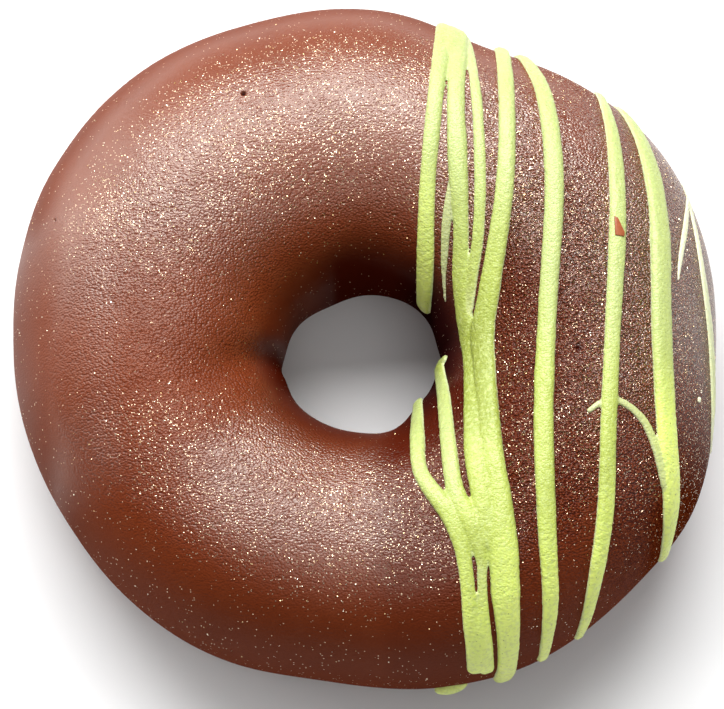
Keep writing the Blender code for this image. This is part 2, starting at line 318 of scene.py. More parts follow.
# Strengths or limits that change along x or y: what they go by, places in millimetres, values there
PROFILES = {
    "back_top": ("x", (-27, -19, -11, -4, 4, 14), (0.33, 0.45, 0.48, 0.42, 0.38, 0.05)),
    "left": ("y", (-33, -26, -18, -10, -3, 5, 13, 20), (0, 0.8, 0.78, 0.85, 0.78, 0.6, 0.3, 0)),
    "left_full_at": ("y", (-18, -12), (-27, -16)),
    "left_edge": ("y", (-20, -12, -3, 5), (0.85, 0.25, 0.25, 0.6)),
    "far_left": ("y", (-16, -8, 0, 8, 14), (0.85, 0.7, 0.72, 0.5, 0.3)),
    # beside the trunk of icing: dulled shine and painted shade
    "beside_trunk": ("x", (6, 12, 18, 27, 36), (0, 0.65, 0.85, 0.5, 0)),
    "beside_trunk_from": ("x", (18, 26), (15, 8)),
    "low_right": ("y", (-26, -18, -10, -2), (0.93, 0.74, 0.42, 0)),
    # painted light on the icing over the hole
    "over_hole": ("y", (2, 6, 12), (0.45, 0.72, 0.8)),
    # where the icing's painted light starts towards the front
    "icing_light_from": ("x", (10, 14, 18, 23, 30, 37), (-24, -26, -20, -19, -15, 0)),
    "icing_pale_from": ("x", (18, 24), (2, -16)),
}

# Where the left tone starts along x, and over how many millimetres two other tones come in
LEFT_STARTS_AT = -9
BESIDE_TRUNK_FADE = 10
ICING_TONE_FADE = 20

# Area lights: place, size and the setting that holds the power
LIGHTS = {
    "window": ((-0.03, 0.34, 0.52), (0.55, 0.32), "window_power"),
    "side_window": ((-0.52, 0.33, 0.24), (0.5, 0.45), "side_power"),
    "front": ((0.12, -0.35, 0.7), (0.5, 0.4), "front_power"),
    "ceiling": ((0.0, 0.08, 0.7), (0.7, 0.5), "ceiling_power"),
}

# What the camera and the lights aim at, the floor's side, the camera's sensor and its near limit
AIMED_AT = (-0.32 * MM, -1.97 * MM, 16.0 * MM)
FLOOR_SIZE = 6
SENSOR_WIDTH = 36
NEAREST_SEEN = 0.01


def unit_circle(angle):
    return np.cos(np.radians(angle)), np.sin(np.radians(angle))


def swelling(angle, swells):
    total = np.zeros_like(angle, dtype=float)
    for centre, rise, spread in swells:
        offset = (angle - centre + 180) % 360 - 180
        total += rise * np.exp(-0.5 * (offset / spread) ** 2)
    return total


def signed_power(value, power):
    return np.sign(value) * np.abs(value) ** power


def crease_depth(angle, over):
    depth = np.zeros_like(angle, dtype=float)
    for centre, deepest, spread, swing, middle, reach in CREASES:
        away_from_wall = np.maximum(0, 180 - over) / 90
        offset = (angle - centre - swing * away_from_wall + 180) % 360 - 180
        along = np.exp(-0.5 * ((over - middle) / reach) ** 2)
        depth += deepest * np.exp(-0.5 * (offset / spread) ** 2) * along
    return depth


def ring_points(angle, over, ring):
    """Points of the coat, at angles round the ring and angles over the dough."""
    round_x, round_y = unit_circle(angle)
    across, up = unit_circle(over)
    oval = OVAL_STRETCH * np.cos(2 * np.radians(angle - OVAL_ANGLE))
    outer = ring.outline_radius + oval + swelling(angle, OUTLINE_SWELLS)
    inner = ring.hole_radius + swelling(angle, HOLE_SWELLS)
    power = 2 / np.where(up >= 0, TOP_ROUND, FOOT_ROUND)
    share = (1 + signed_power(across, power)) / 2
    outside = np.stack([outer * round_x, outer * round_y], -1)
    inside = np.stack([HOLE_CENTRE[0] + inner * round_x, HOLE_CENTRE[1] + inner * round_y], -1)
    span = outside - inside
    width = np.linalg.norm(span, axis=-1)
    plan = inside + span * share[..., None]
    rise = signed_power(up, power)
    crest = ring.height * (THIN_TOP_SHARE + (1 - THIN_TOP_SHARE) * width / FULL_WIDTH)
    above = ring.widest_at + (crest - ring.widest_at) * rise
    below = np.maximum(0, ring.widest_at + (ring.widest_at + FOOT_CUT) * rise)
    depth = crease_depth(angle, over)
    plan -= span / width[..., None] * (depth * across)[..., None]
    height = np.where(up >= 0, above, below) - depth * np.maximum(0, up)
    return np.concatenate([plan, height[..., None]], -1)


def ring_point(angle, over, ring):
    return Vector(ring_points(np.array([float(angle)]), np.array([float(over)]), ring)[0])


def deselect_all():
    if bpy.context.object and bpy.context.object.mode != "OBJECT":
        bpy.ops.object.mode_set(mode="OBJECT")
    bpy.ops.object.select_all(action="DESELECT")


def select_only(piece):
    deselect_all()
    piece.select_set(True)
    bpy.context.view_layer.objects.active = piece


def named(name):
    """The object that an operator has just made, under its own name."""
    piece = bpy.context.object
    piece.name = name
    piece.data.name = name
    return piece


def apply_modifier(piece, name, kind, **settings):
    select_only(piece)
    modifier = piece.modifiers.new(name, kind)
    for key, value in settings.items():
        setattr(modifier, key, value)
    bpy.ops.object.modifier_apply(modifier=modifier.name)


def finish_piece(piece, material, replaced=None):
    """Settles a piece's place in its mesh, gives it its material and lets it ride."""
    select_only(piece)
    bpy.ops.object.transform_apply(location=True, rotation=True, scale=True)
    piece.data.materials.clear()
    piece.data.materials.append(material)
    piece.data.shade_smooth()
    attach(piece, BODY)
    if replaced:
        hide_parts(replaced)


class Value:
    """A shader socket that takes part in Python arithmetic through Math nodes."""

    def __init__(self, board, socket):
        self.board = board
        self.socket = socket

    def maths(self, operation, *values):
        return self.board.node("ShaderNodeMath", {"operation": operation}, dict(enumerate(values)))

    def __add__(self, other):
        return self.maths("ADD", self, other)

    def __radd__(self, other):
        return self.maths("ADD", other, self)

    def __sub__(self, other):
        return self.maths("SUBTRACT", self, other)

    def __rsub__(self, other):
        return self.maths("SUBTRACT", other, self)

    def __mul__(self, other):
        return self.maths("MULTIPLY", self, other)

    def __rmul__(self, other):
        return self.maths("MULTIPLY", other, self)

    def __pow__(self, other):
        return self.maths("POWER", self, other)

    def larger(self, other):
        return self.maths("MAXIMUM", self, other)

    def below(self, limit):
        """1 where the value is less than the limit, otherwise 0."""
        return self.maths("LESS_THAN", self, limit)

    def between(self, low, high):
        """0 below low, 1 above high and smooth between them; low may be the larger."""
        turned = low > high
        ends = {"From Min": min(low, high), "From Max": max(low, high),
                "To Min": 1.0 if turned else 0.0, "To Max": 0.0 if turned else 1.0}
        settings = {"interpolation_type": "SMOOTHSTEP"}
        return self.board.node("ShaderNodeMapRange", settings, {"Value": self, **ends})


class Board:
    """The node board of one material."""

    def __init__(self, name):
        self.material = bpy.data.materials.new(name)
        self.material.use_nodes = True
        self.tree = self.material.node_tree
        self.shader = self.tree.nodes["Principled BSDF"]
        self.output = self.tree.nodes["Material Output"]

    def mix_in(self, factor, sockets):
        """Adds a second shader that takes over as the factor goes from 0 to 1."""
        second = self.node("ShaderNodeBsdfPrincipled", None, sockets)
        first = Value(self, self.shader.outputs[0])
        mixed = self.node("ShaderNodeMixShader", None, {0: factor, 1: first, 2: second})
        self.feed(self.output.inputs["Surface"], mixed)

    def node(self, kind, settings=None, inputs=None, output=0):
        made = self.tree.nodes.new(kind)
        for key, value in (settings or {}).items():
            setattr(made, key, value)
        for key, value in (inputs or {}).items():
            self.feed(made.inputs[key], value)
        return Value(self, made.outputs[output])

    def feed(self, socket, value):
        if isinstance(value, Value):
            self.tree.links.new(value.socket, socket)
        else:
            socket.default_value = value

    def set(self, **sockets):
        for name, value in sockets.items():
            self.feed(self.shader.inputs[name.replace("_", " ")], value)

    def place(self, stretch=(1, 1, 1)):
        """Object coordinates in millimetres, squeezed along each axis."""
        spot = self.node("ShaderNodeTexCoord", output="Object")
        scale = tuple(s / MM for s in stretch)
        return self.node("ShaderNodeVectorMath", {"operation": "MULTIPLY"}, {0: spot, 1: scale})

    def noise(self, where, size, detail=2.0, roughness=0.5, distortion=0.0):
        return self.node("ShaderNodeTexNoise", None, {
            "Vector": where, "Scale": 1 / size, "Detail": detail,
            "Roughness": roughness, "Distortion": distortion})

    def cells(self, where, size, output="Distance", smoothness=None):
        inputs = {"Vector": where, "Scale": 1 / size}
        if smoothness is None:
            return self.node("ShaderNodeTexVoronoi", {"feature": "F1"}, inputs, output)
        inputs["Smoothness"] = smoothness
        return self.node("ShaderNodeTexVoronoi", {"feature": "SMOOTH_F1"}, inputs, output)

    def blend(self, factor, one, two):
        """One colour where the factor is 0, the other where it is 1."""
        return self.node("ShaderNodeMix", {"data_type": "RGBA"}, {0: factor, 6: one, 7: two}, 2)

    def layers(self, ground, *covers):
        """A ground colour under others, each given as (factor, colour)."""
        base = solid(ground)
        for factor, cover in covers:
            base = self.blend(factor, base, solid(cover))
        return base

    def bump(self, height, distance, normal=None):
        inputs = {"Height": height, "Distance": distance, "Strength": 1.0}
        if normal is not None:
            inputs["Normal"] = normal
        return self.node("ShaderNodeBump", None, inputs)

    def attribute(self, name):
        return self.node("ShaderNodeAttribute", {"attribute_name": name}, output="Fac")


def solid(rgb):
    return (*rgb, 1.0)


def pebble_height(board):
    """The fine pebbling that the set coat and the icing share: its height, and 1 in the gaps."""
    where = board.place(PEBBLE_STRETCH)
    warp = board.noise(where, PEBBLE_WARP_SIZE, detail=0.0)
    pebbles = board.cells(where, PEBBLE_SIZE, smoothness=0.4)
    ripple = board.noise(where, PEBBLE_SIZE, detail=1.0, roughness=0.6, distortion=0.3)
    return (1 - pebbles ** 2) * (1.2 + warp) + ripple * 0.3, pebbles.between(0.3, 0.6)


def shimmer_specks(board, where, share):
    """Where the finest specks of gold lie in the coat, and the way that each one leans."""
    reach = board.cells(where, SHIMMER_CELL)
    drawn = board.cells(where, SHIMMER_CELL, output="Color")
    chance, lean_x, lean_y = (
        board.node("ShaderNodeSeparateColor", None, {0: drawn}, part) for part in range(3))
    lean = board.node("ShaderNodeCombineXYZ", None, {0: lean_x - 0.5, 1: lean_y - 0.5})
    return reach.between(0.42, 0.36) * chance.below(share), lean


def chocolate_material(colours):
    board = Board("chocolate coat")
    where = board.place()
    cloud = board.noise(where, CLOUD_SIZE, detail=3.0)
    fine = board.noise(where, MOTTLE_SIZE, detail=3.0)
    in_hole, pit, relief = (board.attribute(name) for name in ("in_hole", "pit", "relief"))
    height, gap = pebble_height(board)
    base = board.layers(
        colours.chocolate,
        (cloud.between(0.6, 0.4) * 0.25, colours.chocolate_deep_and_shade),
        (fine.between(0.45, 0.75) * 0.35, colours.chocolate_light),
        # painted shade: darker low on the sides, at the foot, beside the icing and at the hole's lip
        (board.attribute("deep") * 0.6, colours.chocolate_deep_and_shade),
        # painted shade on the hole's wall and its front lip
        (in_hole * 0.97, colours.hole_and_gap_shade),
        # painted shadow on the hole's right wall
        (board.attribute("dark_wall") * 0.8, colours.pit),
        # painted shade inside the bubble holes
        (pit, colours.pit),
        # painted shade in the gaps between the pebbles
        (gap * relief * 0.4, colours.hole_and_gap_shade))
    geometry = board.node("ShaderNodeNewGeometry", output="Normal")
    share = 0.02 + 0.36 * board.attribute("dust") * cloud.between(0.15, 0.65)
    speck, lean = shimmer_specks(board, where, share * (1 - pit))
    tilted = board.node("ShaderNodeVectorMath", {"operation": "MULTIPLY_ADD"},
                        {0: lean, 1: (0.9, 0.9, 0.9), 2: geometry})
    tilted = board.node("ShaderNodeVectorMath", {"operation": "NORMALIZE"}, {0: tilted})
    normal = board.node("ShaderNodeMix", {"data_type": "VECTOR"},
                        {0: speck, 4: geometry, 5: tilted}, 1)
    shine = {
        "Base Color": board.blend(speck, base, solid(colours.shimmer)),
        "Metallic": speck,
        "Roughness": 0.3 + 0.1 * fine + 0.06 * cloud - 0.12 * board.attribute("satin"),
        "Normal": board.bump(height * relief, PEBBLE_DEPTH, normal),
    }
    for name, value in shine.items():
        board.feed(board.shader.inputs[name], value)
    board.set(Specular_IOR_Level=0.9, IOR=1.75, Specular_Tint=solid(colours.sheen))
    dull = board.attribute("matt").larger(in_hole).larger(pit)
    board.mix_in(dull, {**shine, "Specular IOR Level": 0.0})
    return board.material


def icing_material(name, colours, thin_colour):
    board = Board(name)
    where = board.place()
    cloud = board.noise(where, ICING_CLOUD_SIZE)
    fine = board.noise(where, ICING_MOTTLE_SIZE)
    spot = board.cells(where, ICING_SPECK_CELL).between(0.15, 0.1)
    chance = board.cells(where, ICING_SPECK_CELL, output="Color")
    base = board.layers(
        colours.icing,
        (cloud.between(0.3, 0.7) * 0.5, colours.icing_light),
        # painted light and shade: lighter towards the front and over the hole, darker on the trunk
        (board.attribute("lightness"), colours.painted_lit_icing),
        (board.attribute("paleness"), colours.icing_back),
        (fine.between(0.45, 0.7) * 0.5, colours.icing_mottle),
        (board.attribute("rim") * 0.6, colours.icing_rim),
        (board.attribute("thinness"), thin_colour),
        (spot * chance.below(0.5) * 0.75, colours.icing_speck))
    board.set(Base_Color=base, Roughness=0.34 + 0.15 * cloud)
    board.set(Normal=board.bump(pebble_height(board)[0], ICING_PEBBLE_DEPTH))
    board.set(Subsurface_Weight=0.3, Subsurface_Radius=(1.0, 0.9, 0.4), Subsurface_Scale=0.8 * MM)
    return board.material


def gold_material(colours):
    board = Board("gold glitter")
    where = board.place()
    tint = board.noise(where, 0.9, detail=0.0)
    base = board.layers(colours.gold, (tint.between(0.4, 0.6), colours.gold_pale))
    board.set(Base_Color=base, Metallic=1.0, Roughness=0.3)
    return board.material


def number(name, description, default, **kind):
    return FloatProperty(name=name, description=description, default=default, **kind)


class DoughnutRing(bpy.types.PropertyGroup):
    outline_radius: number("Outline radius", "Mean radius of the ring's outline",
                           45.95 * MM, unit="LENGTH")
    hole_radius: number("Hole radius", "Mean radius of the hole", 9.95 * MM, unit="LENGTH")
    height: number("Height", "Height of the coated ring", 32.5 * MM, unit="LENGTH")
    widest_at: number("Widest at", "Height at which the ring is widest", 15.0 * MM, unit="LENGTH")


class DoughnutIcing(bpy.types.PropertyGroup):
    rise: number("Rise", "Height of a line of icing as a share of its width",
                 0.36, subtype="FACTOR", min=0.1, max=1)
    sunk: number("Sunk", "How far the icing's foot reaches into the coat",
                 0.35 * MM, unit="LENGTH")
    fineness: number("Fineness", "Grid of the mesh in which the lines melt together",
                     0.17 * MM, unit="LENGTH")
    kept: number("Kept", "Share of the melted mesh's triangles that are kept",
                 0.8, subtype="FACTOR", min=0.1, max=1)
    relief: number("Relief", "Depth of the unevenness along the icing's edges",
                   0.05 * MM, unit="LENGTH")


class DoughnutGlitter(bpy.types.PropertyGroup):
    count: IntProperty(name="Flakes",
                       description="How many flakes are drawn, some of which are left out",
                       default=17000, min=0)
    smallest: number("Smallest", "Radius of the smallest flake", 0.05 * MM, unit="LENGTH")
    largest: number("Largest", "Radius of the largest flake", 0.12 * MM, unit="LENGTH")
    tilt: number("Tilt", "How far flakes tilt away from the coat", math.radians(20), subtype="ANGLE")


def colour(name, description, default):
    return FloatVectorProperty(name=name, description=description, default=default,
                               subtype="COLOR", min=0, max=1)


class DoughnutColours(bpy.types.PropertyGroup):
    chocolate: colour("Chocolate", "The coat", (0.190, 0.036, 0.0092))
    # Deep chocolate is also the colour of the painted shade on the coat
    chocolate_deep_and_shade: colour("Deep chocolate", "The coat's darker clouds", (0.125, 0.021, 0.005))
    chocolate_light: colour("Light chocolate", "The coat's fine pale mottling", (0.225, 0.056, 0.020))
    # painted shade: this dark colour on the hole's wall and between the pebbles stands in for shade
    hole_and_gap_shade: colour("Chocolate in the hole", "The coat's deep colour on the hole's wall",
                           (0.060, 0.006, 0.002))
    shimmer: colour("Shimmer", "The finest gold specks in the coat", (0.86, 0.66, 0.46))
    sheen: colour("Sheen", "What the coat's satin shine is tinted with", (1.0, 0.985, 0.91))
    # painted shade: this near-black inside the bubble holes and on the hole's right wall stands in for
    # shade
    pit: colour("Pit", "Inside the pits that bubbles left", (0.012, 0.003, 0.004))
    icing: colour("Icing", "The icing where it is thick", (0.305, 0.368, 0.058))
    icing_light: colour("Light icing", "The icing's paler clouds", (0.37, 0.44, 0.088))
    # painted light: this bright icing towards the front and over the hole stands in for light
    painted_lit_icing: colour("Front icing", "The icing towards the front", (0.84, 0.985, 0.235))
    icing_back: colour("Back icing", "The icing towards the back", (0.47, 0.55, 0.205))
    icing_mottle: colour("Icing mottle", "The icing's fine pale mottling", (0.58, 0.67, 0.24))
    icing_rim: colour("Icing rim", "The icing's pale lower edge", (0.82, 0.90, 0.55))
    icing_thin: colour("Thin icing", "The icing where the coat shows through", (0.52, 0.55, 0.29))
    icing_pale: colour("Pale icing", "The icing's thin lines down the side", (0.80, 0.81, 0.56))
    icing_speck: colour("Icing speck", "Fine specks in the icing", (0.20, 0.22, 0.06))
    caramel: colour("Caramel", "The flake on one line of icing", (0.30, 0.070, 0.022))
    caramel_light: colour("Light caramel", "The flake's paler parts", (0.42, 0.125, 0.045))
    gold: colour("Gold", "Glitter flakes", (0.90, 0.66, 0.34))
    gold_pale: colour("Pale gold", "The palest glitter flakes", (0.98, 0.90, 0.72))
    floor: colour("Floor", "The pale floor", (0.86, 0.86, 0.86))


class DoughnutStage(bpy.types.PropertyGroup):
    distance: number("Camera distance", "From the camera to the middle of the ring",
                     0.4, unit="LENGTH")
    elevation: number("Elevation", "How steeply the camera looks down",
                      math.radians(76), subtype="ANGLE")
    lens: number("Lens", "Focal length", 152.2, unit="CAMERA")
    window_power: number("Window light", "Power of the large light behind the ring",
                         6.25, unit="POWER")
    side_power: number("Side light", "Power of the low light at the back left", 2.0, unit="POWER")
    ceiling_power: number("Ceiling light", "Power of the soft light overhead", 0.8, unit="POWER")
    front_power: number("Front light", "Power of the high soft light in front", 1.1, unit="POWER")
    sky: number("Sky", "Strength of the even light all round", 0.12)


class DoughnutSettings(bpy.types.PropertyGroup):
    ring: PointerProperty(type=DoughnutRing)
    icing: PointerProperty(type=DoughnutIcing)
    glitter: PointerProperty(type=DoughnutGlitter)
    colours: PointerProperty(type=DoughnutColours)
    stage: PointerProperty(type=DoughnutStage)


def read_points(mesh):
    points = np.empty(len(mesh.vertices) * 3)
    mesh.vertices.foreach_get("co", points)
    return points.reshape(-1, 3)


def write_points(mesh, points):
    mesh.vertices.foreach_set("co", np.asarray(points, float).ravel())
    mesh.update()


def push_out(mesh, points, distances):
    """Moves a mesh's points along their normals."""
    normals = np.empty(len(points) * 3)
    mesh.vertices.foreach_get("normal", normals)
    write_points(mesh, points + normals.reshape(-1, 3) * distances[:, None])


def add_attribute(mesh, name, values):
    layer = mesh.attributes.new(name, "FLOAT", "POINT")
    layer.data.foreach_set("value", np.asarray(values, np.float32))


def make_coat(ring, colours):
    """The coated ring: a torus whose points move to the outline, hole and section of the dough."""
    deselect_all()
    middle, tube = (ring.outline_radius + ring.hole_radius) / 2, ring.widest_at
    bpy.ops.mesh.primitive_torus_add(major_radius=middle, minor_radius=tube,
                                     major_segments=RING_STEPS, minor_segments=SECTION_STEPS)
    coat = named("chocolate_coat")
    start = read_points(coat.data)
    angle = np.degrees(np.arctan2(start[:, 1], start[:, 0]))
    over = np.degrees(np.arctan2(start[:, 2], np.hypot(start[:, 0], start[:, 1]) - middle)) % 360
    points = ring_points(angle, over, ring)
    write_points(coat.data, points)
    waves = np.array([noise.noise(Vector(p) / WAVE_SIZE) for p in points])
    free = np.clip(points[:, 2] / WAVE_SIZE, 0, 1)
    push_out(coat.data, points, WAVE_DEPTH * waves * free)
    prick_pits(coat, ring)
    for name, values in coat_masks(read_points(coat.data)).items():
        add_attribute(coat.data, name, values)
    finish_piece(coat, chocolate_material(colours), NODE)


def smooth_step(value, low, high):
    """0 at low, 1 at high and smooth between them; low may be the larger."""
    part = np.clip((value - low) / (high - low), 0, 1)
    return part * part * (3 - 2 * part)


class Spread:
    """Where points lie on the doughnut, and how far each is in a region or along a profile."""

    def __init__(self, points):
        x, y, z = points.T / MM
        reach = np.hypot(x - HOLE_CENTRE[0] / MM, y - HOLE_CENTRE[1] / MM)
        self.measures = {"x": x, "y": y, "z": z, "reach": reach}

    def inside(self, region):
        share, *steps = REGIONS[region]
        for measure, low, high in steps:
            share = share * smooth_step(self.measures[measure], low, high)
        return share

    def along(self, profile):
        measure, places, values = PROFILES[profile]
        return np.interp(self.measures[measure], places, values)

    def both(self, name):
        return self.inside(name) * self.along(name)


def highest(*masks):
    return np.maximum.reduce(masks)


def coat_masks(points):
    """How dusted, matt, satin and pebbled the coat is at each point, and how much shade is painted
    into its colour: low on the sides, at the foot, beside the icing, at the lips, in the hole and on
    its right wall.
    """
    spread = Spread(points)
    inside, along = spread.inside, spread.along
    x, y = spread.measures["x"], spread.measures["y"]
    wall = inside("hole_wall") * (1 - inside("paler_front_wall")) * (1 - inside("paler_left_wall"))
    slope, lip = inside("front_right_slope"), inside("near_lip")
    low = inside("low_front") * (1 - inside("lighter_low_left"))
    low_right = along("low_right") * inside("right_of_trunk") * (1 + inside("right_edge"))
    left = along("left") * smooth_step(x, LEFT_STARTS_AT, along("left_full_at"))
    left = left * (1 - spread.both("left_edge"))
    start = along("beside_trunk_from")
    beside = along("beside_trunk") * smooth_step(y, start, start - BESIDE_TRUNK_FADE)
    # painted shade on the outer slope, less on the right
    outer = inside("outer_slope") * (1 - 0.7 * inside("right_half"))
    pebbled = highest(inside("pebbled_top"), inside("pebbled_side")) * inside("behind_front_edge")
    pebbled = (0.3 + pebbled) * (0.78 + 1.3 * inside("right_half")) * (1 - inside("smoother_back"))
    return {
        "dust": highest(inside("dusted_back"), inside("dusted_front"), inside("dusted_side")),
        "matt": highest(low * inside("left_of_trunk") + low_right, 0.8 * inside("foot"), left,
                        spread.both("far_left"), inside("front_top"), beside, inside("back_edge"),
                        spread.both("back_top"), inside("shaded_slope"), inside("front_lip"),
                        slope * (0.68 + 0.27 * lip)),
        # painted shade, darkening the coat's colour
        "deep": highest(low * (1 - inside("right_side")), inside("foot"), 1.8 * beside, 1.5 * slope,
                        1.1 * inside("front_top"), 2.2 * inside("front_lip"), outer),
        # painted shade in the hole and on its front lip
        "in_hole": highest(wall, slope * (0.28 + 0.55 * lip) * inside("before_front_edge")),
        # painted shadow on the hole's right wall
        "dark_wall": wall * inside("right_wall"),
        "satin": inside("satin_right"),
        "relief": pebbled * inside("outside_hole"),
    }


def prick_pits(coat, ring):
    """Refines the coat round each bubble hole, pushes its points in and stores how much shade is
    painted inside it.
    """
    tree = tree_of(coat)
    spots = [drop_down(tree, *place, 2 * ring.height)[0] for place, _, _, _ in PITS]
    select_only(coat)
    bpy.ops.object.mode_set(mode="EDIT")
    for spot in spots:
        bpy.ops.mesh.select_all(action="DESELECT")
        shape = bmesh.from_edit_mesh(coat.data)
        for face in shape.faces:
            if (face.calc_center_median() - spot).length < PIT_PATCH:
                face.select_set(True)
        bmesh.update_edit_mesh(coat.data)
        bpy.ops.mesh.subdivide(number_cuts=PIT_CUTS, smoothness=0)
    bpy.ops.object.mode_set(mode="OBJECT")
    points = read_points(coat.data)
    darkness = np.zeros(len(points))
    for spot, (_, radius, depth, dark) in zip(spots, PITS):
        reach = np.linalg.norm(points - np.array(spot), axis=1)
        inside = np.exp(-(reach / radius) ** 4)
        points -= np.outer(inside * depth, coat.data.vertices[int(reach.argmin())].normal)
        darkness = np.maximum(darkness, inside * dark)
    write_points(coat.data, points)
    # how much shade is painted inside each bubble hole
    add_attribute(coat.data, "pit", darkness)


def tree_of(piece):
    shape = bmesh.new()
    shape.from_mesh(piece.data)
    tree = BVHTree.FromBMesh(shape)
    shape.free()
    return tree


def drop_down(tree, x, y, top):
    """The place and the normal under a point, straight down."""
    return tree.ray_cast(Vector((x, y, top)), Vector((0, 0, -1)))[:2]


def smooth_route(points):
    """Points on a smooth curve through the given ones (Catmull-Rom), each (x, y, width)."""
    knots = [Vector(p) * MM for p in points]
    knots = [2 * knots[0] - knots[1]] + knots + [2 * knots[-1] - knots[-2]]
    route = []
    for a, b, c, d in zip(knots, knots[1:], knots[2:], knots[3:]):
        for i in range(ROUTE_SAMPLES):
            t = i / ROUTE_SAMPLES
            route.append(0.5 * (2 * b + t * (c - a) + t * t * (2 * a - 5 * b + 4 * c - d)
                                + t ** 3 * (3 * b - a - 3 * c + d)))
    return route + [knots[-2]]


def lay_on_coat(route, tree, top):
    """Drops each point of a route onto the coat, giving (place, width)."""
    laid = []
    for x, y, width in route:
        place = drop_down(tree, x, y, top)[0]
        if place is not None:
            laid.append((place, width))
    return laid


def run_over_edge(laid, distance, tree):
    """Lets a line creep on over the coat from its last point, bending downwards as icing does."""
    place, width = laid[-1]
    heading = (place - laid[-2][0]).normalized()
    for _ in range(round(distance * MM / FINE_STEP)):
        normal = tree.find_nearest(place)[1]
        heading = heading - Vector((0, 0, DOWNWARD_PULL))
        heading = (heading - normal * heading.dot(normal)).normalized()
        place = tree.find_nearest(place + heading * FINE_STEP)[0]
        laid.append((place, width))
    return laid


def stations_along(laid):
    """Even places along a line, closer at its round ends: (place, width, share of full size)."""
    reach = [0]
    for (a, _), (b, _) in zip(laid, laid[1:]):
        reach.append(reach[-1] + (b - a).length)
    total = reach[-1]
    first, last = laid[0][1] / 2, laid[-1][1] / 2
    count = max(2, round((total - first - last) / STATION_GAP))
    wanted = [turn * first for turn in ROUND_END_TURNS]
    wanted += [first + (total - first - last) * i / count for i in range(count + 1)]
    wanted += [total - turn * last for turn in reversed(ROUND_END_TURNS)]
    stations, at = [], 0
    for want in wanted:
        while at < len(reach) - 2 and reach[at + 1] < want:
            at += 1
        part = (want - reach[at]) / max(reach[at + 1] - reach[at], SMALLEST_STEP)
        place = laid[at][0].lerp(laid[at + 1][0], part)
        width = laid[at][1] + (laid[at + 1][1] - laid[at][1]) * part
        width *= 1 + WOBBLE * noise.noise(place / WOBBLE_LENGTH)
        nearest_end = min(want / first, (total - want) / last, 1)
        stations.append((place, width, math.sqrt(1 - (1 - nearest_end) ** 2)))
    return stations


def bead_section(place, width, share, forward, normal, icing):
    """Points of the bead's section round one station: a low arch over a foot sunk in the coat."""
    normal = (normal - forward * normal.dot(forward)).normalized()
    side = forward.cross(normal)
    slant = max(math.hypot(side.x, side.y), MOST_SLANTED)
    half, rise = share * width / 2 / slant, share * width * icing.rise
    power = 2 / BEAD_SQUARENESS
    section = []
    for j in range(ARC_STEPS + 1):
        turn = math.pi * j / ARC_STEPS
        out = math.copysign(abs(math.cos(turn)) ** power, math.cos(turn))
        section.append(place + side * half * out + normal * rise * math.sin(turn) ** power)
    for sign in (-1, 1):
        section.append(place + side * half * FOOT_SHARE * sign - normal * icing.sunk)
    return section


def pipe_bead(name, stations, tree, icing):
    """A circle of points at the first station, extruded from station to station and closed."""
    deselect_all()
    bpy.ops.mesh.primitive_circle_add(vertices=ARC_STEPS + 3, radius=stations[0][1] / 2)
    bead = named(name)
    bpy.ops.object.mode_set(mode="EDIT")
    normals = [tree.find_nearest(place)[1] for place, _, _ in stations]
    for i, (place, width, share) in enumerate(stations):
        low, high = max(i - 1, 0), min(i + 1, len(stations) - 1)
        forward = (stations[high][0] - stations[low][0]).normalized()
        normal = sum(normals[low:high + 1], Vector()).normalized()
        if i:
            bpy.ops.mesh.extrude_edges_move()
        else:
            bpy.ops.mesh.select_all(action="SELECT")
        shape = bmesh.from_edit_mesh(bead.data)
        corners = [v for v in shape.verts if v.select]
        for corner, spot in zip(corners, bead_section(place, width, share, forward, normal, icing)):
            corner.co = spot
    bpy.ops.mesh.select_all(action="SELECT")
    bpy.ops.mesh.select_non_manifold()
    bpy.ops.mesh.edge_face_add()
    bpy.ops.mesh.select_all(action="SELECT")
    bpy.ops.mesh.normals_make_consistent(inside=False)
    bpy.ops.object.mode_set(mode="OBJECT")
    return bead


def melt_together(beads, name, icing):
    """Joins beads into one piece of icing whose lines flow into each other."""
    deselect_all()
    for bead in beads:
        bead.select_set(True)
    bpy.context.view_layer.objects.active = beads[0]
    if len(beads) > 1:
        bpy.ops.object.join()
    piece = named(name)
    apply_modifier(piece, "melt", "REMESH", mode="VOXEL", voxel_size=icing.fineness)
    apply_modifier(piece, "soften", "SMOOTH", factor=0.5, iterations=3)
    apply_modifier(piece, "thin out", "DECIMATE", ratio=icing.kept)
    roughen(piece, icing.relief)
    return piece


def roughen(piece, depth):
    """Gives the icing the slight raggedness of the pebbled coat under it."""
    points = read_points(piece.data)
    rough = np.array([noise.noise(Vector(p) / ROUGH_SIZE) for p in points])
    push_out(piece.data, points, depth * rough)


def mark_icing(piece, lines, tree):
    """Stores how thin the icing is at each point, from the nearest line, its rim, and its tones:
    painted light and paleness.
    """
    spots, widths, thinness = [], [], []
    for line, stations in lines.items():
        for place, width, _ in stations:
            spots.append(place)
            widths.append(width)
            by_width = min((THICK_WIDTH - width) / THIN_FADE, 1)
            thinness.append(max(by_width, THIN_LINES.get(line, 0)))
    spots, widths, thinness = np.array(spots), np.array(widths), np.array(thinness)
    points = read_points(piece.data)
    thin = np.empty(len(points))
    for start in range(0, len(points), POINTS_AT_ONCE):
        part = points[start:start + POINTS_AT_ONCE]
        gap = np.linalg.norm(part[:, None] - spots[None], axis=2) / widths[None]
        thin[start:start + POINTS_AT_ONCE] = thinness[gap.argmin(1)]
    add_attribute(piece.data, "thinness", thin)
    lift = np.array([tree.find_nearest(Vector(point))[3] for point in points]) / MM
    add_attribute(piece.data, "rim", smooth_step(lift, RIM_END, RIM_FULL))
    for name, values in icing_tones(points).items():
        add_attribute(piece.data, name, values)


